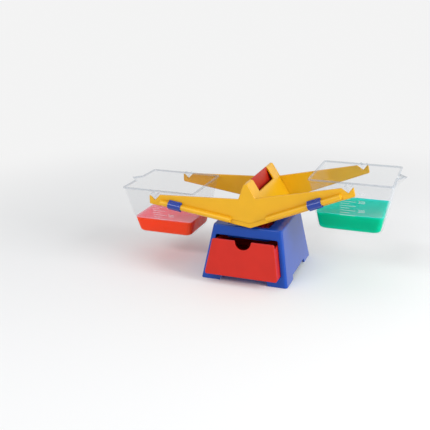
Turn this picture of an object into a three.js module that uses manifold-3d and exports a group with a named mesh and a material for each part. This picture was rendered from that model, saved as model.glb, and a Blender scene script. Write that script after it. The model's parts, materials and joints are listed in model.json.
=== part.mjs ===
// Toy bucket balance: a beam that rocks on a knife edge, two clear buckets hung in its end notches,
// two compensators that slide on its rails, and a hollow base with a drawer.
// Millimetres. +Z is up, +X is to the right seen from the drawer side and +Y is to the back.

import * as THREE from 'three';
import { mergeVertices } from 'three/addons/utils/BufferGeometryUtils.js';
import { ConvexGeometry } from 'three/addons/geometries/ConvexGeometry.js';
import Module from 'manifold-3d';

const wasm = await Module();
wasm.setup();

const degrees = Math.PI / 180;

// Stored pose
const beamTilt = 7.6 * degrees; // right end up
const drawerPull = 16; // how far the drawer stands open

// Clearances
const seatGap = 0.3; // between faces that rest on each other
const drawerGap = 0.6; // round the drawer front in its opening
const cutPast = 1; // how far a cutting tool runs past the face it opens

// Base shell
const baseBottomWidth = 124;
const baseBottomDepth = 132;
const baseTopWidth = 97;
const baseTopDepth = 103;
const baseHeight = 76;
const baseWall = 2.5;
const baseTopWall = 3;
const baseCornerRadius = 4;
const baseTopRound = 2;
const archHeight = 6; // cut-outs that leave four corner feet
const archFlare = 2;
const footWidth = 27.5;
const footDepth = 33;

// Well in the top of the base, where the fulcrum stands
const wellWidth = 59;
const wellDepth = 90;
const wellSink = 16;
const wellWall = 2;
const wellCornerRadius = 3;

// Base floor, the deck that the drawer slides on
const floorThickness = 2.5;
const floorCornerRadius = 3;
const guideThickness = 1.6;
const guideHeight = 4;
const ledgeThickness = 2;
const ledgeLength = 80;
const lugReach = 1.6;
const lugThickness = 1.6;
const lugLength = 10;
const lugSpacing = 96;

// Drawer
const drawerTop = 61.5; // heights above the table
const drawerBottom = 13;
const frameBorder = 8; // of the base left on each side of the drawer front
const drawerHeadroom = 1.5; // between the side and back walls and the well above them
const drawerWall = 2;
const drawerBackGap = 2.5;
const panelThickness = 3;
const panelTopRadius = 2;
const panelBottomRadius = 3;
const fingerRadius = 11.5;
const fingerSides = 40;

// Fulcrum
const pivotHeight = 135; // of the knife edge above the table
const knifeHalfAngle = 16.5 * degrees;
const knifeRadius = 0.8;
const knifeDrop = 42; // from the knife edge to the underside of the knife
const knifeEndGap = 0.8; // to the tongues of the arm plates
const keyHalfAngle = 13 * degrees; // of the raised key in the roof's window
const keyGap = 0.6; // at each end of the window
const keyProud = 0.8; // above the roof's ridge
const stemLength = 44;
const fulcrumWall = 2.5;
const fulcrumFootWidth = 34;
const fulcrumFootThickness = 3;
const fulcrumFootRadius = 3;
const footTabLength = 10;
const footTabThickness = 2.4;
const footTabSpacingX = 26;
const footTabSpacingY = 60;

// Roof bridge, the inverted V that rides on the knife edge
const roofHalfAngle = 25.5 * degrees;
const roofWall = 2.5;
const roofSeatRadius = 1.2; // of the groove along the inside of the ridge
const roofDrop = 47; // from the knife edge to the roof's lower edges
const windowLength = 68;
const windowDrop = 14.5; // from the knife edge to the window's lower edges

// Arm plates, in the beam's own axes with the knife edge at the origin
const plateSpacing = 122; // over the two outer faces
const plateThickness = 3;
const plateEdgeRound = 0.5;
const armTopAngle = 4.9 * degrees;
const armTopDrop = 17.8; // of the arms' top edges, carried to the middle
const chevronDrop = 57.2; // from the knife edge to the point of the chevron
const chevronRadius = 2;
const humpFootRadius = 1.5;
const hangReach = 133.3; // of the buckets' hinge lines
const hangDrop = 12.8;
const tipReach = 8.5; // of the arms' ends past the hinge lines, and below them
const tipDrop = 5.5;
const tipRadius = 2;
const notchInnerAngle = 39 * degrees;
const notchOuterAngle = 49 * degrees;
const notchLipRadius = 1;
const prongLength = 10.6;
const prongRadius = 0.8;
const rebateHeight = 6.5; // thinner band along the chevron's edge
const rebateDepth = 1;
const tongueThickness = 2; // rib that locates the roof on each plate
const tongueLength = 5;
const tongueDrop = 40;

// Rails on the outer face of each plate
const railRadius = 3.6;
const railStandOff = 3; // from the plate's face to the rail's axis
const railLift = 6.1; // from the chevron's edge to the rail's axis
const railNeck = 4.4;
const railStart = 27.4; // measured along the chevron's edge from its point
const railEndGap = 16.3; // from the rail's end to the arm's end
const railSides = 20;

// Compensators
const clipLength = 18.5;
const clipWall = 1.1;
const clipLipReach = 6.6;
const clipLipBack = 2.2;
const clipLipFront = 0.4;
const leftClipInset = 22.1; // from the rail's end to the middle of the clip
const rightClipInset = 34.9;

// Buckets
const rimWidth = 108.4;
const rimDepth = 104.8;
const rimLip = 1;
const rimHeight = 2;
const rimCornerRadius = 3.5;
const rimRise = 10.1; // above the hinge line
const bucketBottomWidth = 82.6;
const bucketBottomDepth = 70;
const bucketHeight = 71.8;
const bucketWall = 1.6;
const bottomCornerRadius = 9;
const bucketBottomRound = 6;
const spoutReach = 11;
const spoutWidth = 28;
const spoutDrop = 17;
const tabHalfAngle = 28 * degrees;
const tabTipRadius = 0.6;
const tabHeight = 8.6;
const tabWall = 1.8;
const tabOverhang = 1.5; // past the plate's outer face

// Materials
const yellowPlastic = new THREE.MeshStandardMaterial({ color: 0xf0b52a, roughness: 0.4, metalness: 0 });
const bluePlastic = new THREE.MeshStandardMaterial({ color: 0x2a459f, roughness: 0.45, metalness: 0 });
const redPlastic = new THREE.MeshStandardMaterial({ color: 0xd33328, roughness: 0.4, metalness: 0 });
const clearPlastic = new THREE.MeshStandardMaterial({
  color: 0xe6ebee,
  roughness: 0.1,
  metalness: 0,
  transparent: true,
  opacity: 0.35,
});

// Solids and meshes

function solidOf(geometry) {
  const bare = geometry.clone();
  bare.deleteAttribute('normal');
  bare.deleteAttribute('uv');
  const merged = mergeVertices(bare);
  const index = merged.index.array;
  const triVerts = [];
  for (let i = 0; i < index.length; i += 3) {
    const [a, b, c] = [index[i], index[i + 1], index[i + 2]];
    if (a !== b && b !== c && c !== a) {
      triVerts.push(a, b, c);
    }
  }
  return new wasm.Manifold(
    new wasm.Mesh({
      numProp: 3,
      vertProperties: merged.attributes.position.array,
      triVerts: Uint32Array.from(triVerts),
    }),
  );
}

function meshOf(name, solid, material) {
  const { vertProperties, triVerts } = solid.getMesh();
  const geometry = new THREE.BufferGeometry();
  geometry.setAttribute('position', new THREE.BufferAttribute(vertProperties, 3));
  geometry.setIndex(new THREE.BufferAttribute(triVerts, 1));
  geometry.computeVertexNormals();
  const mesh = new THREE.Mesh(geometry, material);
  mesh.name = name;
  return mesh;
}

function addAll(first, ...others) {
  return others.reduce((whole, other) => whole.add(other), first);
}

function cutAll(first, ...others) {
  return others.reduce((whole, other) => whole.subtract(other), first);
}

// A closed outline with a round of its own at each corner. Corners are [x, y, radius].
function roundedShape(corners) {
  const shape = new THREE.Shape();
  const points = corners.map(([x, y]) => new THREE.Vector2(x, y));
  corners.forEach(([x, y, radius], i) => {
    const here = points[i];
    const back = points.at(i - 1).clone().sub(here).normalize();
    const ahead = points[(i + 1) % points.length].clone().sub(here).normalize();
    const half = Math.acos(THREE.MathUtils.clamp(back.dot(ahead), -1, 1)) / 2;
    const start = here.clone().addScaledVector(back, radius / Math.tan(half));
    const end = here.clone().addScaledVector(ahead, radius / Math.tan(half));
    const inward = back.clone().add(ahead).normalize();
    const centre = here.clone().addScaledVector(inward, radius / Math.sin(half));
    if (i === 0) {
      shape.moveTo(start.x, start.y);
    } else {
      shape.lineTo(start.x, start.y);
    }
    if (radius > 0) {
      const from = start.clone().sub(centre).angle();
      const to = end.clone().sub(centre).angle();
      shape.absarc(centre.x, centre.y, radius, from, to, back.cross(ahead) > 0);
    }
  });
  shape.closePath();
  return shape;
}

// Extrudes an outline drawn in X and Z along Y, from the front to the back of a range.
function extrudeAlongY(shape, front, back, edgeRound = 0) {
  const geometry = new THREE.ExtrudeGeometry(shape, {
    depth: back - front - 2 * edgeRound,
    bevelEnabled: edgeRound > 0,
    bevelThickness: edgeRound,
    bevelSize: edgeRound,
    bevelOffset: -edgeRound,
    bevelSegments: 2,
    curveSegments: 4,
  });
  geometry.rotateX(Math.PI / 2);
  geometry.translate(0, back - edgeRound, 0);
  return geometry;
}

// A ring of points round a rectangle with rounded corners, seen anticlockwise from above.
function rectRing(halfX, halfY, radius, z, cornerSteps = 6) {
  const ring = [];
  const signs = [[1, 1], [-1, 1], [-1, -1], [1, -1]];
  signs.forEach(([sx, sy], corner) => {
    for (let step = 0; step <= cornerSteps; step += 1) {
      const angle = (corner + step / cornerSteps) * (Math.PI / 2);
      ring.push(
        new THREE.Vector3(
          sx * (halfX - radius) + radius * Math.cos(angle),
          sy * (halfY - radius) + radius * Math.sin(angle),
          z,
        ),
      );
    }
  });
  return ring;
}

// A closed solid skinned over rings that are listed from the bottom up.
function loft(rings) {
  const count = rings[0].length;
  const positions = rings.flat().flatMap((point) => point.toArray());
  const index = [];
  for (let r = 0; r + 1 < rings.length; r += 1) {
    for (let i = 0; i < count; i += 1) {
      const next = (i + 1) % count;
      const [a, b, c, d] = [r * count + i, r * count + next, (r + 1) * count + next, (r + 1) * count + i];
      index.push(a, b, c, a, c, d);
    }
  }
  const lastRing = (rings.length - 1) * count;
  for (let i = 1; i + 1 < count; i += 1) {
    index.push(0, i + 1, i);
    index.push(lastRing, lastRing + i, lastRing + i + 1);
  }
  const geometry = new THREE.BufferGeometry();
  geometry.setAttribute('position', new THREE.BufferAttribute(new Float32Array(positions), 3));
  geometry.setIndex(index);
  return geometry;
}

// A box between two heights, with rounded upright corners.
function roundedBox(width, depth, radius, bottom, top) {
  return loft([
    rectRing(width / 2, depth / 2, radius, bottom),
    rectRing(width / 2, depth / 2, radius, top),
  ]);
}

function box(low, high) {
  const size = new THREE.Vector3().subVectors(high, low);
  const geometry = new THREE.BoxGeometry(size.x, size.y, size.z);
  return geometry.translate((low.x + high.x) / 2, (low.y + high.y) / 2, (low.z + high.z) / 2);
}

function mirroredX(corners) {
  return corners.map(([x, z, radius]) => [-x, z, radius]).reverse();
}

// Sizes that follow from the driving dimensions

const baseSideSlope = (baseBottomWidth - baseTopWidth) / 2 / baseHeight;
const baseFrontSlope = (baseBottomDepth - baseTopDepth) / 2 / baseHeight;
const baseSideWall = baseWall * Math.hypot(1, baseSideSlope);
const baseFrontWall = baseWall * Math.hypot(1, baseFrontSlope);
const wellFloorTop = baseHeight - wellSink;
const wellFloorBottom = wellFloorTop - baseTopWall;
const floorTop = drawerBottom - seatGap;
const floorBottom = floorTop - floorThickness;
const drawerSideTop = wellFloorBottom - drawerHeadroom;
const plateOuterY = plateSpacing / 2;
const plateInnerY = plateOuterY - plateThickness;
const fulcrumFootBottom = wellFloorTop + seatGap - pivotHeight;
const fulcrumFootDepth = wellDepth - 2 * seatGap;
const roofRadius = roofSeatRadius + roofWall;
const roofCentreZ = seatGap - roofSeatRadius;
const endReach = hangReach + tipReach;
const endDrop = hangDrop + tipDrop;
const railAngle = Math.atan2(chevronDrop - endDrop, endReach);
const railEnd = Math.hypot(chevronDrop - endDrop, endReach) - railEndGap;
const railY = -plateOuterY - railStandOff;
const clipInnerRadius = railRadius + seatGap;
const bucketBottomZ = rimRise - bucketHeight;
const bucketSlopeX = (rimWidth / 2 - rimLip - bucketBottomWidth / 2) / bucketHeight;
const bucketSlopeY = (rimDepth / 2 - rimLip - bucketBottomDepth / 2) / bucketHeight;

const baseHalfWidth = (z) => baseBottomWidth / 2 - z * baseSideSlope;
const baseHalfDepth = (z) => baseBottomDepth / 2 - z * baseFrontSlope;
const bayHalfWidth = (z) => baseHalfWidth(z) - baseSideWall;
const bayHalfDepth = (z) => baseHalfDepth(z) - baseFrontWall;
const drawerHalfWidth = (z) => baseHalfWidth(z) - frameBorder;
const guideInnerX = drawerHalfWidth(drawerBottom) + seatGap;
const guideOuterX = guideInnerX + guideThickness;
const bucketHalfX = (z) => bucketBottomWidth / 2 + (z - bucketBottomZ) * bucketSlopeX;
const bucketHalfY = (z) => bucketBottomDepth / 2 + (z - bucketBottomZ) * bucketSlopeY;
const bucketCornerRadius = (z) =>
  THREE.MathUtils.mapLinear(z, bucketBottomZ, rimRise, bottomCornerRadius, rimCornerRadius);

// Base

function baseOutside() {
  const roundSteps = 4;
  const rings = [rectRing(baseHalfWidth(0), baseHalfDepth(0), baseCornerRadius, 0)];
  for (let step = 0; step <= roundSteps; step += 1) {
    const angle = (step / roundSteps) * (Math.PI / 2);
    const z = baseHeight - baseTopRound * (1 - Math.sin(angle));
    const inset = baseTopRound * (1 - Math.cos(angle));
    rings.push(rectRing(baseHalfWidth(z) - inset, baseHalfDepth(z) - inset, baseCornerRadius - inset / 2, z));
  }
  return solidOf(loft(rings));
}

function baseInside() {
  const radius = baseCornerRadius - baseWall;
  const top = baseHeight - baseTopWall;
  return solidOf(
    loft([-cutPast, top].map((z) => rectRing(bayHalfWidth(z), bayHalfDepth(z), radius, z))),
  );
}

function archCut(halfSpan, run) {
  const shape = roundedShape([
    [-halfSpan, -cutPast, 0],
    [halfSpan, -cutPast, 0],
    [halfSpan - archFlare, archHeight, archFlare / 2],
    [-halfSpan + archFlare, archHeight, archFlare / 2],
  ]);
  return extrudeAlongY(shape, -run / 2 - cutPast, run / 2 + cutPast);
}

// The drawer front's outline, grown all round by a clearance.
function drawerOutline(grow) {
  const topHalf = drawerHalfWidth(drawerTop) + grow;
  const bottomHalf = drawerHalfWidth(drawerBottom) + grow;
  return roundedShape([
    [-bottomHalf, drawerBottom - grow, panelBottomRadius + grow],
    [bottomHalf, drawerBottom - grow, panelBottomRadius + grow],
    [topHalf, drawerTop + grow, panelTopRadius + grow],
    [-topHalf, drawerTop + grow, panelTopRadius + grow],
  ]);
}

function fulcrumTabs(grow, bottom, top) {
  const halfX = footTabThickness / 2 + grow;
  const halfY = footTabLength / 2 + grow;
  return [[-1, -1], [1, -1], [-1, 1], [1, 1]].map(([sx, sy]) => {
    const x = (sx * footTabSpacingX) / 2;
    const y = (sy * footTabSpacingY) / 2;
    return solidOf(
      box(new THREE.Vector3(x - halfX, y - halfY, bottom), new THREE.Vector3(x + halfX, y + halfY, top)),
    );
  });
}

// Ribs above the floor and snap lugs below it, on the inside of both side walls.
function floorHolders() {
  const holders = [];
  for (const side of [-1, 1]) {
    const rib = (innerX, length, y, bottom, top) => {
      const wallX = bayHalfWidth(bottom) + baseWall / 2;
      const low = new THREE.Vector3(Math.min(side * innerX, side * wallX), y - length / 2, bottom);
      const high = new THREE.Vector3(Math.max(side * innerX, side * wallX), y + length / 2, top);
      holders.push(solidOf(box(low, high)));
    };
    const ledgeBottom = floorTop + seatGap;
    rib(guideOuterX + seatGap, ledgeLength, 0, ledgeBottom, ledgeBottom + ledgeThickness);
    const lugTop = floorBottom - seatGap;
    const lugX = bayHalfWidth(lugTop) - lugReach;
    for (const end of [-1, 1]) {
      rib(lugX, lugLength, (end * lugSpacing) / 2, lugTop - lugThickness, lugTop);
    }
  }
  return holders;
}

function makeBaseShell() {
  const wellTray = solidOf(
    roundedBox(
      wellWidth + 2 * wellWall,
      wellDepth + 2 * wellWall,
      wellCornerRadius + wellWall,
      wellFloorBottom,
      baseHeight,
    ),
  );
  const well = solidOf(
    roundedBox(wellWidth, wellDepth, wellCornerRadius, wellFloorTop, baseHeight + cutPast),
  );
  const openingBack = -bayHalfDepth(drawerTop) + cutPast;
  const opening = solidOf(
    extrudeAlongY(drawerOutline(drawerGap), -baseHalfDepth(0) - cutPast, openingBack),
  );
  const frontArch = solidOf(archCut(baseBottomWidth / 2 - footWidth, baseBottomDepth));
  const sideArch = solidOf(archCut(baseBottomDepth / 2 - footDepth, baseBottomWidth).rotateZ(Math.PI / 2));
  const tabSlots = fulcrumTabs(seatGap, wellFloorBottom - cutPast, wellFloorTop + cutPast);
  const shell = baseOutside().subtract(baseInside().subtract(wellTray));
  const held = addAll(cutAll(shell, well, opening, ...tabSlots), ...floorHolders());
  return meshOf('base_shell', cutAll(held, frontArch, sideArch), bluePlastic);
}

function makeBaseFloor() {
  const plate = solidOf(
    loft(
      [floorBottom, floorTop].map((z) =>
        rectRing(bayHalfWidth(z) - seatGap, bayHalfDepth(z) - seatGap, floorCornerRadius, z),
      ),
    ),
  );
  const guideY = bayHalfDepth(floorTop + guideHeight) - baseWall;
  const guides = [-1, 1].map((side) => {
    const inner = side * guideInnerX;
    const outer = side * guideOuterX;
    const low = new THREE.Vector3(Math.min(inner, outer), -guideY, floorBottom);
    const high = new THREE.Vector3(Math.max(inner, outer), guideY, floorTop + guideHeight);
    return solidOf(box(low, high));
  });
  return meshOf('base_floor', addAll(plate, ...guides), bluePlastic);
}

// Drawer

// Leans an upright piece back so that its front follows the base's front face.
function leanWithFront(geometry) {
  return geometry.applyMatrix4(new THREE.Matrix4().makeShear(0, 0, 0, 0, 0, baseFrontSlope));
}

function makeDrawer() {
  const frontY = -baseHalfDepth(0);
  const backY = bayHalfDepth(drawerSideTop) - drawerBackGap;
  const panel = solidOf(leanWithFront(extrudeAlongY(drawerOutline(0), frontY, frontY + panelThickness)));
  const trayShape = (inset, bottom, top) => {
    const radius = Math.max(panelBottomRadius - inset, 0);
    return roundedShape([
      [-drawerHalfWidth(bottom) + inset, bottom, radius],
      [drawerHalfWidth(bottom) - inset, bottom, radius],
      [drawerHalfWidth(top) - inset, top, 0],
      [-drawerHalfWidth(top) + inset, top, 0],
    ]);
  };
  const inFrontOf = (y) => {
    const reach = baseBottomWidth;
    const low = new THREE.Vector3(-reach, frontY - reach, -baseHeight);
    const high = new THREE.Vector3(reach, y, 2 * baseHeight);
    return solidOf(leanWithFront(box(low, high)));
  };
  const wallInset = drawerWall * Math.hypot(1, baseSideSlope);
  const trayTop = drawerSideTop;
  const outside = solidOf(extrudeAlongY(trayShape(0, drawerBottom, trayTop), frontY, backY));
  const inside = solidOf(
    extrudeAlongY(
      trayShape(wallInset, drawerBottom + drawerWall, trayTop + cutPast),
      frontY,
      backY - drawerWall,
    ),
  );
  const tray = outside.subtract(inFrontOf(frontY + panelThickness / 2));
  const hollow = inside.subtract(inFrontOf(frontY + panelThickness));
  const finger = new THREE.CylinderGeometry(fingerRadius, fingerRadius, baseBottomDepth, fingerSides);
  finger.translate(0, frontY, drawerTop);
  return meshOf('drawer', cutAll(panel.add(tray), hollow, solidOf(finger)), redPlastic);
}

// Fulcrum, with the knife edge along Y at its origin

// A wedge's outline in X and Z, with a round top at a height above the knife edge, drawn in by an inset.
function knifeShape(rise, halfAngle, inset, bottom) {
  const apexAbove = knifeRadius / Math.sin(halfAngle) - knifeRadius;
  const apex = rise + apexAbove - inset / Math.sin(halfAngle);
  const halfWidth = (apex - bottom) * Math.tan(halfAngle);
  return roundedShape([
    [-halfWidth, bottom, 0],
    [halfWidth, bottom, 0],
    [0, apex, Math.max(knifeRadius - inset, 0)],
  ]);
}

// A hollow knife with a raised key, on a hollow stem whose foot stands in the well.
function makeFulcrum() {
  const footTop = fulcrumFootBottom + fulcrumFootThickness;
  const keyRise = roofCentreZ + roofRadius + keyProud;
  const keyHalf = windowLength / 2 - keyGap;
  const knifeHalf = plateInnerY - tongueLength - knifeEndGap;
  const apexAbove = knifeRadius / Math.sin(knifeHalfAngle) - knifeRadius;
  const stemHalfX = (knifeDrop + apexAbove) * Math.tan(knifeHalfAngle);
  const stemHalfY = stemLength / 2;
  const upright = (halfX, halfY, bottom, top) =>
    solidOf(box(new THREE.Vector3(-halfX, -halfY, bottom), new THREE.Vector3(halfX, halfY, top)));
  const wedge = (rise, halfAngle, inset, half) =>
    solidOf(extrudeAlongY(knifeShape(rise, halfAngle, inset, -knifeDrop), -half, half));
  const foot = solidOf(
    roundedBox(fulcrumFootWidth, fulcrumFootDepth, fulcrumFootRadius, fulcrumFootBottom, footTop),
  );
  const stem = upright(stemHalfX, stemHalfY, fulcrumFootBottom, -knifeDrop);
  const stemInside = upright(
    stemHalfX - fulcrumWall,
    stemHalfY - fulcrumWall,
    fulcrumFootBottom - cutPast,
    -knifeDrop + cutPast,
  );
  const knifeInside = wedge(0, knifeHalfAngle, fulcrumWall, knifeHalf - fulcrumWall);
  const tabs = fulcrumTabs(0, wellFloorBottom - seatGap - pivotHeight, footTop);
  const whole = addAll(
    wedge(0, knifeHalfAngle, 0, knifeHalf),
    wedge(keyRise, keyHalfAngle, 0, keyHalf),
    stem,
    foot,
    ...tabs,
  );
  return meshOf('fulcrum', cutAll(whole, knifeInside, stemInside), redPlastic);
}

// Beam, with the knife edge along Y at its origin

// The roof's outline in X and Z, drawn in from its outer face. It is a wedge with a round ridge.
function roofShape(inset, bottom) {
  const apex = roofCentreZ + roofRadius / Math.sin(roofHalfAngle) - inset / Math.sin(roofHalfAngle);
  const halfWidth = (apex - bottom) * Math.tan(roofHalfAngle);
  return roundedShape([
    [-halfWidth, bottom, 0],
    [halfWidth, bottom, 0],
    [0, apex, Math.max(roofRadius - inset, 0)],
  ]);
}

function makeRoofBridge() {
  const half = plateInnerY - seatGap;
  const outside = solidOf(extrudeAlongY(roofShape(0, -roofDrop), -half, half));
  const inside = solidOf(
    extrudeAlongY(roofShape(roofWall, -roofDrop - cutPast), -half - cutPast, half + cutPast),
  );
  const opening = solidOf(
    box(
      new THREE.Vector3(-roofDrop, -windowLength / 2, -windowDrop),
      new THREE.Vector3(roofDrop, windowLength / 2, roofDrop),
    ),
  );
  return meshOf('roof_bridge', cutAll(outside, inside, opening), yellowPlastic);
}

// Right half of an arm plate's outline, from the chevron's point round to the ridge.
function plateCorners() {
  const notchRadius = tabTipRadius + seatGap;
  const inner = new THREE.Vector2(-Math.cos(notchInnerAngle), Math.sin(notchInnerAngle));
  const outer = new THREE.Vector2(Math.cos(notchOuterAngle), Math.sin(notchOuterAngle));
  const notchHalf = (Math.PI - notchInnerAngle - notchOuterAngle) / 2;
  const upward = inner.clone().add(outer).normalize();
  const notch = new THREE.Vector2(hangReach, -hangDrop);
  notch.addScaledVector(upward, -notchRadius / Math.sin(notchHalf));
  const prong = notch.clone().addScaledVector(outer, prongLength);
  const topSlope = Math.tan(armTopAngle);
  const innerRun = (notch.x * topSlope - armTopDrop - notch.y) / (inner.y - inner.x * topSlope);
  const lip = notch.clone().addScaledVector(inner, innerRun);
  const ridge = roofCentreZ + roofRadius / Math.sin(roofHalfAngle);
  const footX = (ridge + armTopDrop) / (topSlope + 1 / Math.tan(roofHalfAngle));
  return [
    [endReach, -endDrop, tipRadius],
    [prong.x, prong.y, prongRadius],
    [notch.x, notch.y, notchRadius],
    [lip.x, lip.y, notchLipRadius],
    [footX, footX * topSlope - armTopDrop, humpFootRadius],
    [0, ridge, roofRadius],
  ];
}

// Lays a piece drawn along +X along the chevron's edge, at a place measured from the chevron's point.
function onRail(side, place, lift, y) {
  const spot = new THREE.Vector2(place, lift).rotateAround(new THREE.Vector2(), railAngle);
  const turn = new THREE.Matrix4().makeRotationY(-side * railAngle);
  return turn.setPosition(side * spot.x, y, spot.y - chevronDrop);
}

function railSolids(side) {
  const length = railEnd - railStart;
  const middle = (railStart + railEnd) / 2;
  const rod = new THREE.CylinderGeometry(railRadius, railRadius, length, railSides).rotateZ(Math.PI / 2);
  const neckDepth = railStandOff + plateThickness / 2;
  const neck = new THREE.BoxGeometry(length, neckDepth, railNeck).translate(0, neckDepth / 2, 0);
  const place = onRail(side, middle, railLift, railY);
  return [rod, neck].map((geometry) => solidOf(geometry.applyMatrix4(place)));
}

// The thinner band along one half of the chevron's edge, as a cutting block.
function rebateCut(side) {
  const length = railEnd + rebateHeight;
  const height = rebateHeight + cutPast;
  const block = new THREE.BoxGeometry(length, 2 * rebateDepth, height);
  const lift = rebateHeight - height / 2;
  return solidOf(block.applyMatrix4(onRail(side, railEnd - length / 2, lift, -plateOuterY)));
}

function makeArmPlate(name) {
  const right = plateCorners();
  const left = mirroredX(right.slice(0, -1));
  const shape = roundedShape([[0, -chevronDrop, chevronRadius], ...right, ...left]);
  const plate = solidOf(extrudeAlongY(shape, -plateOuterY, -plateInnerY, plateEdgeRound));
  const rebate = rebateCut(1).add(rebateCut(-1));
  const tongueBack = -plateInnerY + tongueLength;
  const tongueFront = -plateInnerY - plateThickness / 2;
  const tongueInset = roofWall + seatGap;
  const tongue = solidOf(extrudeAlongY(roofShape(tongueInset, -tongueDrop), tongueFront, tongueBack));
  const underTongue = solidOf(
    extrudeAlongY(
      roofShape(tongueInset + tongueThickness, -tongueDrop - cutPast),
      -plateInnerY,
      tongueBack + cutPast,
    ),
  );
  const rails = [...railSolids(-1), ...railSolids(1)];
  const whole = addAll(plate.subtract(rebate), tongue.subtract(underTongue), ...rails);
  return meshOf(name, whole, yellowPlastic);
}

// Compensator, drawn along +X with the rail's axis through its origin

function makeCompensator(name) {
  const outerRadius = clipInnerRadius + clipWall;
  const lipAngle = Math.acos(-clipLipBack / clipInnerRadius);
  const outerAngle = Math.acos(-clipLipFront / outerRadius);
  const shape = new THREE.Shape();
  shape.absarc(0, 0, outerRadius, -outerAngle, outerAngle, false);
  shape.lineTo(-clipLipFront, clipLipReach);
  shape.lineTo(-clipLipBack, clipLipReach);
  shape.absarc(0, 0, clipInnerRadius, lipAngle, -lipAngle, true);
  shape.lineTo(-clipLipBack, -clipLipReach);
  shape.lineTo(-clipLipFront, -clipLipReach);
  shape.closePath();
  const geometry = new THREE.ExtrudeGeometry(shape, {
    depth: clipLength,
    bevelEnabled: false,
    curveSegments: 10,
  });
  geometry.translate(0, 0, -clipLength / 2);
  const outward = new THREE.Vector3(0, -1, 0);
  const upward = new THREE.Vector3(0, 0, 1);
  const along = new THREE.Vector3(-1, 0, 0);
  geometry.applyMatrix4(new THREE.Matrix4().makeBasis(outward, upward, along));
  return meshOf(name, solidOf(geometry), bluePlastic);
}

// Bucket, with its hinge line along Y at its origin and its spout towards +X

function bucketSkin(inset, topZ) {
  const bottomRound = bucketBottomRound - inset;
  const rings = [];
  const ring = (z, draw) =>
    rings.push(rectRing(bucketHalfX(z) - draw, bucketHalfY(z) - draw, bucketCornerRadius(z) - inset, z));
  const roundSteps = 5;
  for (let step = 0; step <= roundSteps; step += 1) {
    const angle = (step / roundSteps) * (Math.PI / 2);
    const z = bucketBottomZ + inset + bottomRound * (1 - Math.cos(angle));
    ring(z, inset + bottomRound * (1 - Math.sin(angle)));
  }
  ring(topZ, inset);
  return solidOf(loft(rings));
}

function spoutSolid(inset, topZ) {
  const rootX = bucketHalfX(rimRise) - inset;
  const innerX = rootX - spoutReach;
  const tipX = rimWidth / 2 + spoutReach - 2 * inset;
  const halfWidth = spoutWidth / 2 - inset;
  const endZ = rimRise - spoutDrop + inset;
  return solidOf(
    new ConvexGeometry([
      new THREE.Vector3(innerX, -halfWidth, topZ),
      new THREE.Vector3(innerX, halfWidth, topZ),
      new THREE.Vector3(rootX, -halfWidth, topZ),
      new THREE.Vector3(rootX, halfWidth, topZ),
      new THREE.Vector3(tipX, 0, topZ),
      new THREE.Vector3(bucketHalfX(endZ) - inset, 0, endZ),
      new THREE.Vector3(innerX, 0, endZ),
    ]),
  );
}

function hangTabs() {
  const apexBelow = tabTipRadius / Math.sin(tabHalfAngle);
  const profile = (inset, top) => {
    const apex = -apexBelow + inset / Math.sin(tabHalfAngle);
    const half = (top - apex) * Math.tan(tabHalfAngle);
    return roundedShape([[0, apex, Math.max(tabTipRadius - inset, 0)], [half, top, 0], [-half, top, 0]]);
  };
  const outer = plateOuterY + tabOverhang;
  const trough = (front, back) =>
    solidOf(extrudeAlongY(profile(0, tabHeight), front, back)).subtract(
      solidOf(extrudeAlongY(profile(tabWall, tabHeight + cutPast), front - cutPast, back + cutPast)),
    );
  const root = bucketBottomDepth / 2;
  return [trough(-outer, -root), trough(root, outer)];
}

function makeBucket(name) {
  const lip = solidOf(
    roundedBox(rimWidth, rimDepth, rimCornerRadius + rimLip, rimRise - rimHeight, rimRise),
  );
  const inside = bucketSkin(bucketWall, rimRise + cutPast);
  const filled = addAll(bucketSkin(0, rimRise), lip, spoutSolid(0, rimRise), ...hangTabs());
  const spoutInside = spoutSolid(bucketWall, rimRise + cutPast);
  return meshOf(name, cutAll(filled, inside, spoutInside), clearPlastic);
}

// Assembly, about the middle of the base and then moved over the middle of the whole balance

function makeBeam() {
  const beam = new THREE.Group();
  beam.position.z = pivotHeight;
  beam.rotation.y = -beamTilt;
  const rearPlate = makeArmPlate('rear_arm_plate');
  rearPlate.rotation.z = Math.PI;
  beam.add(makeRoofBridge(), makeArmPlate('front_arm_plate'), rearPlate);
  for (const [side, name, inset] of [[-1, 'left', leftClipInset], [1, 'right', rightClipInset]]) {
    const clip = makeCompensator(`${name}_compensator`);
    clip.applyMatrix4(onRail(side, railEnd - inset, railLift, railY));
    const bucket = makeBucket(`${name}_bucket`);
    bucket.rotation.z = side > 0 ? 0 : Math.PI;
    const hanger = new THREE.Group();
    hanger.position.set(side * hangReach, 0, -hangDrop);
    hanger.rotation.y = beamTilt;
    hanger.add(bucket);
    beam.add(clip, hanger);
  }
  return beam;
}

function makeBalance() {
  const balance = new THREE.Group();
  const fulcrum = makeFulcrum();
  fulcrum.position.z = pivotHeight;
  const drawer = makeDrawer();
  drawer.position.y = -drawerPull;
  balance.add(makeBaseShell(), makeBaseFloor(), fulcrum, drawer, makeBeam());
  const drawerFrontY = -baseHalfDepth(drawerBottom) - drawerPull;
  const backY = Math.max(baseHalfDepth(0), railRadius - railY);
  balance.position.set(-hangDrop * Math.sin(beamTilt), -(drawerFrontY + backY) / 2, 0);
  return balance;
}

export default makeBalance();
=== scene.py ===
"""Looks of a toy bucket balance.

Moulded plastics, clear buckets with raised graduations, dyed water and a plain studio.
"""

import json
import math

import bpy
from bpy.props import FloatProperty, FloatVectorProperty, IntProperty, PointerProperty
from bpy.types import Operator, Panel, PropertyGroup
from mathutils import Matrix, Vector

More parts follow.
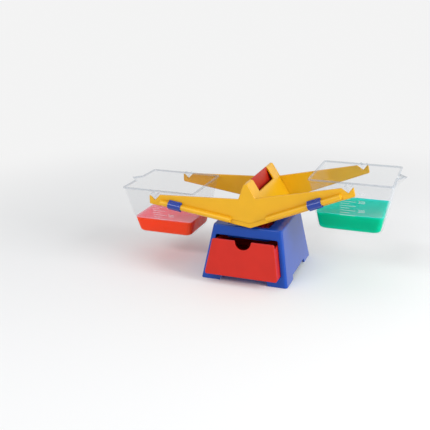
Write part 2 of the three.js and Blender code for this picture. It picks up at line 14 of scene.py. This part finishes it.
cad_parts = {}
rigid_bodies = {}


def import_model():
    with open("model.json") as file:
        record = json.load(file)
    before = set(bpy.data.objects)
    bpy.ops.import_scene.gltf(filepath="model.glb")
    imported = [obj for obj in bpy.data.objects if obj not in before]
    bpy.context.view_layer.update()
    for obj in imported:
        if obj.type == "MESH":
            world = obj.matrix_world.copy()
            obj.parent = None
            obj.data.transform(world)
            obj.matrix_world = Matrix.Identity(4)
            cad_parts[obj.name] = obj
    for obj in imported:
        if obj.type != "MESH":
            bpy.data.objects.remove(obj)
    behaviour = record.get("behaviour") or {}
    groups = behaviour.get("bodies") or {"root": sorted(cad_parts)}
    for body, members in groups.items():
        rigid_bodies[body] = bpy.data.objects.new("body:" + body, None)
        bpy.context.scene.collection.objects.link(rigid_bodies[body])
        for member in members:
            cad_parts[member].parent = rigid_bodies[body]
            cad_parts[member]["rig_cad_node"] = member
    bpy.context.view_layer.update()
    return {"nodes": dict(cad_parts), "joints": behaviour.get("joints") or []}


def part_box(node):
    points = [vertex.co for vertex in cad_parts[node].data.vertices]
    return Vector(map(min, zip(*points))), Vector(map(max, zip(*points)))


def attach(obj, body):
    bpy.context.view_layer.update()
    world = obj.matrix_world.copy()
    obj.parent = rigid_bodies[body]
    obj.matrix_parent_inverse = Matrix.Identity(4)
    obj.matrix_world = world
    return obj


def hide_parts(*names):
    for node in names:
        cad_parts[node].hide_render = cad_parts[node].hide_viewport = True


bl_info = {
    "name": "Toy Bucket Balance",
    "version": (1, 0, 0),
    "blender": (4, 5, 0),
    "location": "View3D > Sidebar > Balance",
    "description": "Dresses a toy bucket balance and sets its studio stage",
    "category": "Object",
}

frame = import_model()
HANG_POINTS = {
    joint["child"]: Vector(joint["pos_m"])
    for joint in frame["joints"]
    if joint["name"].endswith("bucket_swing")
}
BASE_LOW, BASE_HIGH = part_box("base_shell")
BASE_MIDDLE = (BASE_LOW + BASE_HIGH) / 2

MM = 0.001
MILLILITRE = 1e-6

# Limits for welding points, joining flat faces, rounding edges and smooth shading
WELD_GAP = 0.02 * MM
FLAT_ANGLE = math.radians(0.5)
EDGE_ANGLE = math.radians(32)
RIM_ANGLE = math.radians(40)
SHADE_ANGLE = math.radians(50)
FIGURE_SHADE_ANGLE = math.radians(35)

# Upward part of its normal from which a face counts as level
LEVEL_NORMAL = 0.9

# Meniscus width over its height, bevel of a mark over its relief, figure height over text size
MENISCUS_REACH = 3
MARK_BEVEL = 0.4
FIGURE_SHARE = 0.69

# Halvings in the search for the height of a graduation
HALVINGS = 40

PLASTIC_IOR = 1.5
WATER_IOR = 1.33

# How far a plastic's roughness strays, downwards and upwards
SMOOTHER, ROUGHER = 0.03, 0.04

# How much the clear plastic hides: where water wets it, where it is dry, and on a slant
WET_VEIL = 0.006
DRY_VEIL = 0.045
SLANT_VEIL = 0.6

# Depths below the level between which the water turns from its own colour to the lighter colour
# painted on its top as painted light
TOP_LIGHT_FADE_DEPTH, TOP_LIGHT_FULL_DEPTH = 2 * MM, 0.6 * MM

FLOOR_SIZE = 12.0
FLOOR_DROP = 0.2 * MM
SENSOR_WIDTH = 36.0


def linear(red, green, blue):
    """Turns a colour written in 0 to 255 into the renderer's linear values."""
    channels = (value / 255 for value in (red, green, blue))
    return tuple(c / 12.92 if c <= 0.04045 else ((c + 0.055) / 1.055) ** 2.4 for c in channels)


def colour(name, description, rgb):
    return FloatVectorProperty(
        name=name,
        description=description,
        subtype="COLOR",
        size=3,
        min=0.0,
        max=1.0,
        default=linear(*rgb),
    )


def length(name, description, millimetres):
    return FloatProperty(
        name=name,
        description=description,
        unit="LENGTH",
        precision=5,
        default=millimetres * MM,
    )


def count(name, description, number):
    return IntProperty(name=name, description=description, default=number, min=1)


def spot(name, description, metres):
    return FloatVectorProperty(
        name=name,
        description=description,
        subtype="TRANSLATION",
        default=metres,
    )


def angle(name, description, degrees):
    return FloatProperty(
        name=name,
        description=description,
        subtype="ANGLE",
        default=math.radians(degrees),
    )


def power(name, description, watts):
    return FloatProperty(name=name, description=description, unit="POWER", default=watts)


def strength(name, description, share):
    return FloatProperty(name=name, description=description, default=share)


class BalanceFinishes(PropertyGroup):
    """Colours of the plastics and the liquids."""

    yellow: colour("Beam yellow", "Arm plates and roof bridge", (227, 170, 14))
    blue: colour("Base blue", "Base shell and floor", (6, 69, 168))
    clip_blue: colour("Clip blue", "Compensators", (22, 56, 150))
    red: colour("Drawer red", "Drawer", (198, 36, 22))
    # Painted shade: the wedge's red is darker than the drawer's red, which is the same plastic
    fulcrum_red_painted_shade: colour("Fulcrum red", "Wedge with the knife edge", (176, 28, 16))
    clear: colour("Clear", "Haze of the clear buckets", (140, 150, 162))
    clear_edge: colour("Clear edge", "Lip and slanting parts of the buckets", (170, 182, 196))
    mark: colour("Marks", "Graduations on the buckets", (238, 242, 246))
    red_liquid: colour("Red liquid", "Liquid in the left bucket", (255, 74, 40))
    # Painted light: the tops of the liquids are painted in lighter colours than the water itself
    red_top_painted_light: colour("Red surface", "Top of the red liquid", (252, 118, 130))
    green_liquid: colour("Green liquid", "Liquid in the right bucket", (0, 181, 138))
    green_top_painted_light: colour("Green surface", "Top of the green liquid", (0, 184, 160))


class BalanceSizes(PropertyGroup):
    """Sizes of the details that are added to the solids."""

    edge_round: length("Edge round", "Round on the moulded edges", 0.6)
    knife_round: length("Knife round", "Round on the fulcrum's edges", 0.4)
    rim_round: length("Rim round", "Round on the edges of the buckets and clips", 0.3)
    bucket_wall: length("Bucket wall", "Wall of the buckets", 1.6)
    bucket_width: length("Bucket bottom width", "Across the bottom, left to right", 82.6)
    bucket_depth: length("Bucket bottom depth", "Across the bottom, front to back", 70.0)
    rim_width: length("Bucket rim width", "Across the wall at the rim, left to right", 106.4)
    rim_depth: length("Bucket rim depth", "Across the wall at the rim, front to back", 102.8)
    bucket_height: length("Bucket height", "From the bottom to the rim", 71.8)
    rim_height: length("Rim height", "Height of the lip round the rim", 2.0)
    bucket_drop: length("Bucket drop", "From the hinge line to the bottom", 61.7)
    liquid_level: length("Liquid level", "Height of the liquid above the bottom", 25.7)
    liquid_gap: length("Liquid gap", "Between the liquid and the wall", 0.12)
    meniscus: length("Meniscus", "How far the liquid climbs the wall", 0.4)
    mark_height: length("Mark height", "Height of one graduation", 0.5)
    mark_proud: length("Mark relief", "How far the graduations stand out", 0.3)
    mark_start: length("Mark start", "Left end of the marks, from the wall's middle", -12.0)
    long_mark: length("Long mark", "Length of a long graduation", 20.0)
    short_mark: length("Short mark", "Length of a short graduation", 12.0)
    figure_gap: length("Figure gap", "Between a long graduation and its figure", 3.0)
    figure_height: length("Figure height", "Height of the figures", 4.0)
    mark_step: count("Mark step", "Millilitres from one graduation to the next", 25)
    first_mark: count("First mark", "Steps from the bottom to the lowest graduation", 6)
    last_mark: count("Last mark", "Steps from the bottom to the highest graduation", 16)
    figure_every: count("Figure every", "Steps from one figure to the next", 4)


class BalanceStage(PropertyGroup):
    """Camera, floor and light of the studio."""

    camera_place: spot(
        "Camera place",
        "Camera from the middle of the base, on the table",
        (0.25612, -0.83915, 0.37424),
    )
    camera_turn: angle("Camera turn", "Camera's turn about the upright", 18.97)
    camera_pitch: angle("Camera pitch", "Camera's angle from straight down", 90 - 22.59)
    lens: FloatProperty(
        name="Lens",
        description="Focal length in millimetres",
        unit="CAMERA",
        default=54.775,
    )
    shift_x: strength("Shift X", "Sideways lens shift", -0.0503)
    shift_y: strength("Shift Y", "Upward lens shift", 0.1025)
    sky: strength("Sky", "Strength of the soft light all round", 0.6)
    white: strength("White", "Brightness of the background", 0.9)
    key: power("Key", "Power of the light from the right", 17.0)
    key_place: spot("Key place", "Where the light from the right hangs", (1.4, -0.3, 0.6))
    key_width: length("Key width", "Width of the light from the right", 700)
    key_height: length("Key height", "Height of the light from the right", 700)
    fill: power("Fill", "Power of the light from the front", 9.0)
    fill_place: spot("Fill place", "Where the light from the front hangs", (-0.55, -1.25, 1.1))
    fill_width: length("Fill width", "Width of the light from the front", 1100)
    fill_height: length("Fill height", "Height of the light from the front", 250)
    near: length("Near floor", "Distance at which the floor starts to fade out", 300)
    far: length("Far floor", "Distance at which the floor is all background", 900)
    floor: colour("Floor", "Studio floor", (240, 241, 242))


# Helpers


def select_only(piece):
    bpy.ops.object.select_all(action="DESELECT")
    piece.select_set(True)
    bpy.context.view_layer.objects.active = piece


def active_piece(name):
    piece = bpy.context.view_layer.objects.active
    piece.name = name
    piece.data.name = name
    return piece


def apply_modifier(piece, kind, name, **settings):
    select_only(piece)
    bpy.ops.object.modifier_add(type=kind)
    modifier = piece.modifiers[-1]
    modifier.name = name
    for key, value in settings.items():
        setattr(modifier, key, value)
    bpy.ops.object.modifier_apply(modifier=name)


def smooth(piece, limit=SHADE_ANGLE):
    select_only(piece)
    bpy.ops.object.shade_smooth_by_angle(angle=limit)


def select_faces(piece, wanted):
    """Selects the faces that pass a test, and leaves the piece in edit mode."""
    bpy.ops.object.mode_set(mode="EDIT")
    bpy.ops.mesh.select_mode(type="FACE")
    bpy.ops.mesh.select_all(action="DESELECT")
    bpy.ops.object.mode_set(mode="OBJECT")
    for face in piece.data.polygons:
        face.select = wanted(face)
    bpy.ops.object.mode_set(mode="EDIT")


def is_level(face):
    return face.normal.z > LEVEL_NORMAL


def merged_copy(node, name):
    """Copies a node as a welded mesh, with its flat faces whole again."""
    select_only(frame["nodes"][node])
    bpy.ops.object.duplicate()
    piece = active_piece(name)
    del piece["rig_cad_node"]
    piece.data.materials.clear()
    bpy.ops.object.mode_set(mode="EDIT")
    bpy.ops.mesh.select_all(action="SELECT")
    bpy.ops.mesh.remove_doubles(threshold=WELD_GAP)
    bpy.ops.mesh.dissolve_limited(angle_limit=FLAT_ANGLE)
    bpy.ops.object.mode_set(mode="OBJECT")
    return piece


def mould(piece, radius, limit=EDGE_ANGLE, mitre="MITER_ARC"):
    """Rounds the edges of a moulding and keeps its flat faces flat in the shading."""
    apply_modifier(
        piece,
        "BEVEL",
        "Moulded edge",
        width=radius,
        segments=2,
        limit_method="ANGLE",
        angle_limit=limit,
        use_clamp_overlap=False,
        miter_outer=mitre,
    )
    smooth(piece)
    apply_modifier(piece, "WEIGHTED_NORMAL", "Flat faces", weight=80, keep_sharp=True)


def place(piece, body, material, node=None):
    piece.data.materials.clear()
    piece.data.materials.append(material)
    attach(piece, body)
    if node:
        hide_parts(node)


def dress(node, name, body, material, slot, radius, **rounding):
    """Makes a moulding with rounded edges that stands for a node."""
    piece = merged_copy(node, name)
    mould(piece, radius, **rounding)
    place(piece, body, material, node)


# Materials


class NodeSheet:
    """The nodes of a material or a world, with short ways to add and join them."""

    def __init__(self, owner):
        self.owner = owner
        self.owner.use_nodes = True
        self.tree = self.owner.node_tree
        self.tree.nodes.clear()
        kind = "World" if isinstance(owner, bpy.types.World) else "Material"
        self.output = self.tree.nodes.new(f"ShaderNodeOutput{kind}")

    def add(self, kind, links=None, **values):
        node = self.tree.nodes.new(kind)
        for key, value in values.items():
            if hasattr(node, key):
                setattr(node, key, value)
            else:
                node.inputs[key.replace("_", " ").title()].default_value = value
        for socket, source in (links or {}).items():
            self.tree.links.new(source, node.inputs[socket])
        return node

    def where(self):
        return self.add("ShaderNodeTexCoord").outputs["Object"]

    def noise(self, where, **values):
        return self.add("ShaderNodeTexNoise", {"Vector": where}, **values).outputs["Fac"]

    def height(self, where):
        return self.add("ShaderNodeSeparateXYZ", {"Vector": where}).outputs["Z"]

    def remap(self, value, **values):
        return self.add("ShaderNodeMapRange", {"Value": value}, **values).outputs["Result"]

    def bump(self, height, **values):
        return self.add("ShaderNodeBump", {"Height": height}, **values).outputs["Normal"]

    def calculate(self, operation, first, second):
        links = {0: first, 1: second}
        return self.add("ShaderNodeMath", links, operation=operation).outputs[0]

    def two_tone(self, share, *tones):
        """A colour between two tones, each with the share at which it is reached."""
        ramp = self.add("ShaderNodeValToRGB", {"Fac": share})
        for element, (position, rgb) in zip(ramp.color_ramp.elements, tones):
            element.position = position
            element.color = (*rgb, 1)
        return ramp.outputs["Color"]

    def principled(self, links, constants):
        shader = self.add("ShaderNodeBsdfPrincipled", links)
        for socket, value in constants.items():
            shader.inputs[socket].default_value = value
        return shader

    def blend(self, share, first, second):
        links = {0: share, 1: first.outputs[0], 2: second.outputs[0]}
        return self.add("ShaderNodeMixShader", links)

    def surface(self, shader):
        self.tree.links.new(shader.outputs[0], self.output.inputs["Surface"])
        return self.owner


def material_sheet(name):
    return NodeSheet(bpy.data.materials.get(name) or bpy.data.materials.new(name))


def darker(rgb, share):
    return tuple(channel * share for channel in rgb)


def moulded_plastic(name, rgb, roughness, shade=0.92, sheen=0.5, cover=1.0):
    """Moulded plastic: faint cloudy colour, uneven gloss and a fine spark-eroded skin."""
    sheet = material_sheet(name)
    where = sheet.where()
    cloud = sheet.noise(where, scale=38.0, detail=3.0, roughness=0.55)
    tint = sheet.two_tone(cloud, (0.25, darker(rgb, shade)), (0.62, rgb))
    smear = sheet.noise(where, scale=120.0, detail=4.0, roughness=0.6)
    gloss = sheet.remap(smear, to_min=roughness - SMOOTHER, to_max=roughness + ROUGHER)
    grain = sheet.noise(where, scale=1100.0, detail=1.0, roughness=0.4)
    skin = sheet.bump(grain, strength=0.01, distance=0.2 * MM)
    shader = sheet.principled(
        {"Base Color": tint, "Roughness": gloss, "Normal": skin},
        {"IOR": PLASTIC_IOR, "Specular IOR Level": sheen, "Alpha": cover},
    )
    return sheet.surface(shader)


def clear_plastic(name, finishes, level, lip):
    """Clear plastic: see-through face on, most where wet, greyer on a slant and in the lip."""
    sheet = material_sheet(name)
    where = sheet.where()
    flow = sheet.noise(where, scale=45.0, detail=2.0, roughness=0.5)
    gloss = sheet.remap(flow, to_min=0.06, to_max=0.16)
    skin = sheet.bump(flow, strength=0.03, distance=1 * MM)
    lean = sheet.add("ShaderNodeLayerWeight", blend=0.5).outputs["Facing"]
    slant = sheet.remap(lean, from_min=0.74)
    height = sheet.height(where)
    rim = sheet.remap(height, from_min=lip - 0.3 * MM, from_max=lip + 0.1 * MM, to_max=0.5)
    thick = sheet.calculate("MAXIMUM", slant, rim)
    face_on = sheet.remap(
        height,
        from_min=level - 0.5 * MM,
        from_max=level + 0.5 * MM,
        to_min=WET_VEIL,
        to_max=DRY_VEIL,
    )
    veil = sheet.add(
        "ShaderNodeMapRange", {"Value": thick, "To Min": face_on}, to_max=SLANT_VEIL
    ).outputs["Result"]
    tint = sheet.add(
        "ShaderNodeMixRGB",
        {"Fac": thick},
        color1=(*finishes.clear, 1),
        color2=(*finishes.clear_edge, 1),
    ).outputs["Color"]
    shader = sheet.principled(
        {"Base Color": tint, "Roughness": gloss, "Alpha": veil, "Normal": skin},
        {"IOR": PLASTIC_IOR},
    )
    return sheet.surface(shader)


def dyed_water(name, deep, surface, level):
    """Dyed water, a little cloudy, with painted light: a thin layer at its top is painted in a
    lighter colour.
    """
    sheet = material_sheet(name)
    where = sheet.where()
    cloud = sheet.noise(where, scale=30.0, detail=2.0, roughness=0.5)
    body = sheet.two_tone(cloud, (0.3, darker(deep, 0.88)), (0.65, deep))
    # Painted light: near the level the water is mixed towards the lighter colour painted on its
    # top
    layer = sheet.remap(
        sheet.height(where), from_min=level - TOP_LIGHT_FADE_DEPTH, from_max=level - TOP_LIGHT_FULL_DEPTH
    )
    tint = sheet.add(
        "ShaderNodeMixRGB", {"Fac": layer, "Color1": body}, color2=(*surface, 1)
    ).outputs["Color"]
    shader = sheet.principled(
        {"Base Color": tint},
        {
            "Roughness": 0.08,
            "IOR": WATER_IOR,
            "Specular IOR Level": 0.05,
            "Subsurface Weight": 0.85,
            "Subsurface Radius": (1, 1, 1),
            "Subsurface Scale": 30 * MM,
        },
    )
    return sheet.surface(shader)


def background_share(sheet, straight=None):
    """Share of the background in what a ray meets.

    It is all background by gloss and through glass, and follows a factor for the camera.
    """
    rays = sheet.add("ShaderNodeLightPath").outputs
    indirect = sheet.calculate("MAXIMUM", rays["Is Glossy Ray"], rays["Is Transmission Ray"])
    direct = rays["Is Camera Ray"]
    if straight:
        direct = sheet.calculate("MULTIPLY", direct, straight)
    return sheet.calculate("MAXIMUM", direct, indirect)


def studio_paper(name, stage):
    """Matt paper floor that keeps the shadow and fades into the background."""
    sheet = material_sheet(name)
    where = sheet.where()
    fibre = sheet.noise(where, scale=240.0, detail=3.0, roughness=0.6)
    skin = sheet.bump(fibre, strength=0.03, distance=0.5 * MM)
    paper = sheet.principled(
        {"Normal": skin}, {"Base Color": (*stage.floor, 1), "Roughness": 0.85}
    )
    away = sheet.add("ShaderNodeVectorMath", {0: where}, operation="LENGTH").outputs["Value"]
    fade = sheet.remap(
        away, from_min=stage.near, from_max=stage.far, interpolation_type="SMOOTHSTEP"
    )
    glow = sheet.add("ShaderNodeEmission", strength=stage.white)
    return sheet.surface(sheet.blend(background_share(sheet, fade), paper, glow))


# Operators


class BALANCE_OT_base(Operator):
    """Base shell and the floor that carries the drawer"""

    bl_idname = "balance.base"
    bl_label = "Base"

    def execute(self, context):
        sizes, finishes = context.scene.balance_sizes, context.scene.balance_finishes
        blue = moulded_plastic("Blue plastic", finishes.blue, roughness=0.2, sheen=0.36)
        for node in ("base_shell", "base_floor"):
            dress(
                node,
                f"{node}_moulding",
                "base",
                blue,
                "blue_plastic",
                sizes.edge_round,
                mitre="MITER_SHARP",
            )
        return {"FINISHED"}


class BALANCE_OT_fulcrum(Operator):
    """Red wedge with the knife edge"""

    bl_idname = "balance.fulcrum"
    bl_label = "Fulcrum"

    def execute(self, context):
        sizes, finishes = context.scene.balance_sizes, context.scene.balance_finishes
        # The fulcrum's red carries painted shade
        red = moulded_plastic("Fulcrum plastic", finishes.fulcrum_red_painted_shade, roughness=0.4, sheen=0.25)
        dress("fulcrum", "fulcrum_wedge", "base", red, "red_plastic", sizes.knife_round)
        return {"FINISHED"}


class BALANCE_OT_beam(Operator):
    """Both arm plates and the roof bridge between them"""

    bl_idname = "balance.beam"
    bl_label = "Beam"

    def execute(self, context):
        sizes, finishes = context.scene.balance_sizes, context.scene.balance_finishes
        yellow = moulded_plastic(
            "Yellow plastic", finishes.yellow, roughness=0.32, shade=0.95, sheen=0.4
        )
        for node in ("front_arm_plate", "rear_arm_plate", "roof_bridge"):
            dress(node, f"{node}_moulding", "beam", yellow, "yellow_plastic", sizes.edge_round)
        return {"FINISHED"}


class BALANCE_OT_compensators(Operator):
    """Clips that slide on the rails"""

    bl_idname = "balance.compensators"
    bl_label = "Compensators"

    def execute(self, context):
        sizes, finishes = context.scene.balance_sizes, context.scene.balance_finishes
        blue = moulded_plastic("Clip plastic", finishes.clip_blue, roughness=0.12)
        for node in ("left_compensator", "right_compensator"):
            dress(node, f"{node}_clip", node, blue, "dark_blue_plastic", sizes.rim_round)
        return {"FINISHED"}


class BALANCE_OT_drawer(Operator):
    """Drawer with its leaning front"""

    bl_idname = "balance.drawer"
    bl_label = "Drawer"

    def execute(self, context):
        sizes, finishes = context.scene.balance_sizes, context.scene.balance_finishes
        red = moulded_plastic("Drawer plastic", finishes.red, roughness=0.34, sheen=0.3)
        dress("drawer", "drawer_tray", "drawer", red, "red_plastic", sizes.edge_round)
        return {"FINISHED"}


class BALANCE_OT_liquids(Operator):
    """Dyed water in each bucket"""

    bl_idname = "balance.liquids"
    bl_label = "Liquids"

    def execute(self, context):
        sizes, finishes = context.scene.balance_sizes, context.scene.balance_finishes
        # The second colour of each liquid is painted light on its top
        tints = {
            "left_bucket": (finishes.red_liquid, finishes.red_top_painted_light),
            "right_bucket": (finishes.green_liquid, finishes.green_top_painted_light),
        }
        for node, hang in HANG_POINTS.items():
            level = hang.z - sizes.bucket_drop + sizes.liquid_level
            piece = self.fill(node, sizes, level)
            place(piece, node, dyed_water(f"{node} liquid", *tints[node], level))
        return {"FINISHED"}

    def fill(self, node, sizes, level):
        """Takes the bucket's inner skin up to the level, draws it in a little and closes it."""
        piece = merged_copy(node, f"{node}_liquid")
        bpy.ops.object.mode_set(mode="EDIT")
        bpy.ops.mesh.select_all(action="SELECT")
        bpy.ops.mesh.bisect(plane_co=(0, 0, level), plane_no=(0, 0, 1), clear_outer=True)
        bpy.ops.object.mode_set(mode="OBJECT")
        select_faces(piece, is_level)
        bpy.ops.mesh.select_linked()
        bpy.ops.mesh.select_all(action="INVERT")
        bpy.ops.mesh.delete(type="FACE")
        bpy.ops.mesh.select_all(action="SELECT")
        bpy.ops.mesh.flip_normals()
        bpy.ops.transform.shrink_fatten(value=-sizes.liquid_gap)
        bpy.ops.mesh.select_mode(type="EDGE")
        bpy.ops.mesh.select_all(action="DESELECT")
        bpy.ops.mesh.select_non_manifold()
        bpy.ops.mesh.edge_face_add()
        bpy.ops.object.mode_set(mode="OBJECT")
        select_faces(piece, is_level)
        bpy.ops.mesh.inset(thickness=MENISCUS_REACH * sizes.meniscus, depth=-sizes.meniscus)
        bpy.ops.object.mode_set(mode="OBJECT")
        smooth(piece)
        return piece


class BALANCE_OT_buckets(Operator):
    """Clear buckets with their spouts and hanging tabs"""

    bl_idname = "balance.buckets"
    bl_label = "Buckets"

    def execute(self, context):
        sizes, finishes = context.scene.balance_sizes, context.scene.balance_finishes
        for node, hang in HANG_POINTS.items():
            bottom = hang.z - sizes.bucket_drop
            level = bottom + sizes.liquid_level
            lip = bottom + sizes.bucket_height - sizes.rim_height
            clear = clear_plastic(f"{node} plastic", finishes, level, lip)
            dress(
                node,
                f"{node}_moulding",
                node,
                clear,
                "clear_plastic",
                sizes.rim_round,
                limit=RIM_ANGLE,
            )
        return {"FINISHED"}


def wall_slopes(sizes):
    """How far the buckets' side and front walls lean out, for each unit of height."""
    lean_x = (sizes.rim_width - sizes.bucket_width) / 2 / sizes.bucket_height
    lean_y = (sizes.rim_depth - sizes.bucket_depth) / 2 / sizes.bucket_height
    return lean_x, lean_y


class BALANCE_OT_graduations(Operator):
    """Raised graduations and figures on the buckets' front walls"""

    bl_idname = "balance.graduations"
    bl_label = "Graduations"

    def execute(self, context):
        sizes, finishes = context.scene.balance_sizes, context.scene.balance_finishes
        frost = moulded_plastic(
            "Frosted marks", finishes.mark, roughness=0.4, shade=0.97, cover=0.3
        )
        steps = range(sizes.first_mark, sizes.last_mark + 1)
        figured = [step for step in steps if step % sizes.figure_every == 0]
        for node, hang in HANG_POINTS.items():
            marks = [self.mark(sizes, hang, step) for step in steps]
            figures = [self.figure(sizes, hang, step) for step in figured]
            select_only(marks[0])
            for other in marks[1:] + figures:
                other.select_set(True)
            bpy.ops.object.join()
            piece = active_piece(f"{node}_graduations")
            bpy.ops.object.transform_apply(location=True, rotation=True, scale=True)
            smooth(piece, FIGURE_SHADE_ANGLE)
            place(piece, node, frost)
        return {"FINISHED"}

    def height_of(self, sizes, millilitres):
        """Height above the inner bottom at which the bucket holds that much."""
        slope_x, slope_y = wall_slopes(sizes)
        half_x = sizes.bucket_width / 2 - sizes.bucket_wall * (1 - slope_x)
        half_y = sizes.bucket_depth / 2 - sizes.bucket_wall * (1 - slope_y)
        flare = half_x * slope_y + half_y * slope_x
        low, high = 0.0, sizes.bucket_height
        for _ in range(HALVINGS):
            h = (low + high) / 2
            held = 4 * (half_x * half_y * h + flare * h**2 / 2 + slope_x * slope_y * h**3 / 3)
            low, high = (h, high) if held < millilitres * MILLILITRE else (low, h)
        return low

    def on_wall(self, sizes, hang, step, across):
        """Axes on the front wall at a step: X to the right, Y up the wall and Z out of it."""
        lean = wall_slopes(sizes)[1]
        up = Vector((0, -lean, 1)).normalized()
        out = Vector((0, -1, -lean)).normalized()
        above = self.height_of(sizes, sizes.mark_step * step) + sizes.bucket_wall
        centre = Vector(
            (
                hang.x + across,
                hang.y - sizes.bucket_depth / 2 - lean * above,
                hang.z - sizes.bucket_drop + above,
            )
        )
        turn = Matrix((Vector((1, 0, 0)), up, out)).transposed().to_4x4()
        return Matrix.Translation(centre) @ turn

    def mark(self, sizes, hang, step):
        span = sizes.short_mark if step % 2 else sizes.long_mark
        bpy.ops.object.select_all(action="DESELECT")
        bpy.ops.mesh.primitive_cube_add(size=1)
        piece = bpy.context.object
        piece.scale = (span, sizes.mark_height, 2 * sizes.mark_proud)
        bpy.ops.object.transform_apply(location=False, rotation=False, scale=True)
        bpy.ops.object.mode_set(mode="EDIT")
        bpy.ops.mesh.bevel(offset=MARK_BEVEL * sizes.mark_proud, segments=2, affect="EDGES")
        bpy.ops.object.mode_set(mode="OBJECT")
        piece.matrix_world = self.on_wall(sizes, hang, step, sizes.mark_start + span / 2)
        return piece

    def figure(self, sizes, hang, step):
        bpy.ops.object.select_all(action="DESELECT")
        bpy.ops.object.text_add()
        text = bpy.context.object.data
        text.body = str(sizes.mark_step * step)
        text.size = sizes.figure_height / FIGURE_SHARE
        text.extrude = sizes.mark_proud
        text.align_x = "LEFT"
        text.align_y = "CENTER"
        text.resolution_u = 3
        bpy.ops.object.convert(target="MESH")
        piece = bpy.context.object
        across = sizes.mark_start + sizes.long_mark + sizes.figure_gap
        piece.matrix_world = self.on_wall(sizes, hang, step, across)
        return piece


class BALANCE_OT_stage(Operator):
    """Floor, lights and camera"""

    bl_idname = "balance.stage"
    bl_label = "Stage"

    def execute(self, context):
        scene = context.scene
        stage = scene.balance_stage
        self.floor(stage)
        self.light("key_light", stage.key, stage.key_place, stage.key_width, stage.key_height)
        self.light("fill_light", stage.fill, stage.fill_place, stage.fill_width, stage.fill_height)
        scene.world = self.sky(stage)
        scene.camera = self.camera(stage)
        scene.view_settings.view_transform = "Standard"
        return {"FINISHED"}

    def floor(self, stage):
        bpy.ops.object.select_all(action="DESELECT")
        bpy.ops.mesh.primitive_plane_add(size=FLOOR_SIZE, location=(0, 0, BASE_LOW.z - FLOOR_DROP))
        floor = active_piece("studio_floor")
        floor.data.materials.append(studio_paper("Studio floor", stage))

    def light(self, name, watts, centre, width, height):
        """Adds a rectangular softbox that faces the balance."""
        bpy.ops.object.light_add(type="AREA", location=centre)
        lamp = bpy.context.object
        lamp.name = name
        lamp.data.energy = watts
        lamp.data.shape = "RECTANGLE"
        lamp.data.size, lamp.data.size_y = width, height
        aim = Vector((0, 0, BASE_HIGH.z)) - Vector(centre)
        lamp.rotation_euler = aim.to_track_quat("-Z", "Y").to_euler()

    def sky(self, stage):
        """Soft light all round, with a white background where it is seen."""
        sheet = NodeSheet(bpy.data.worlds.new("Studio"))
        soft = sheet.add("ShaderNodeBackground", strength=stage.sky)
        white = sheet.add("ShaderNodeBackground", strength=stage.white)
        for light in (soft, white):
            light.inputs["Color"].default_value = (1, 1, 1, 1)
        return sheet.surface(sheet.blend(background_share(sheet), soft, white))

    def camera(self, stage):
        middle = Vector((BASE_MIDDLE.x, BASE_MIDDLE.y, 0))
        bpy.ops.object.camera_add(
            location=middle + Vector(stage.camera_place),
            rotation=(stage.camera_pitch, 0, stage.camera_turn),
        )
        camera = bpy.context.object
        camera.name = "photo_camera"
        camera.data.sensor_width = SENSOR_WIDTH
        camera.data.lens = stage.lens
        camera.data.shift_x = stage.shift_x
        camera.data.shift_y = stage.shift_y
        camera.data.clip_start = 10 * MM
        return camera


OPERATORS = (
    BALANCE_OT_base,
    BALANCE_OT_fulcrum,
    BALANCE_OT_beam,
    BALANCE_OT_compensators,
    BALANCE_OT_drawer,
    BALANCE_OT_liquids,
    BALANCE_OT_buckets,
    BALANCE_OT_graduations,
    BALANCE_OT_stage,
)


class BALANCE_PT_panel(Panel):
    """Lists the pieces of the balance and their sizes and colours"""

    bl_label = "Bucket Balance"
    bl_idname = "BALANCE_PT_panel"
    bl_space_type = "VIEW_3D"
    bl_region_type = "UI"
    bl_category = "Balance"

    def draw(self, context):
        layout = self.layout
        for operator in OPERATORS:
            layout.operator(operator.bl_idname)
        for group in ("balance_finishes", "balance_sizes", "balance_stage"):
            box = layout.box()
            settings = getattr(context.scene, group)
            for name in settings.__annotations__:
                box.prop(settings, name)


CLASSES = (BalanceFinishes, BalanceSizes, BalanceStage, *OPERATORS, BALANCE_PT_panel)


def register():
    for cls in CLASSES:
        bpy.utils.register_class(cls)
    bpy.types.Scene.balance_finishes = PointerProperty(type=BalanceFinishes)
    bpy.types.Scene.balance_sizes = PointerProperty(type=BalanceSizes)
    bpy.types.Scene.balance_stage = PointerProperty(type=BalanceStage)


def unregister():
    del bpy.types.Scene.balance_stage
    del bpy.types.Scene.balance_sizes
    del bpy.types.Scene.balance_finishes
    for cls in reversed(CLASSES):
        bpy.utils.unregister_class(cls)


def main():
    register()
    bpy.ops.balance.base()
    bpy.ops.balance.fulcrum()
    bpy.ops.balance.beam()
    bpy.ops.balance.compensators()
    bpy.ops.balance.drawer()
    bpy.ops.balance.liquids()
    bpy.ops.balance.buckets()
    bpy.ops.balance.graduations()
    bpy.ops.balance.stage()


if __name__ == "__main__":
    main()
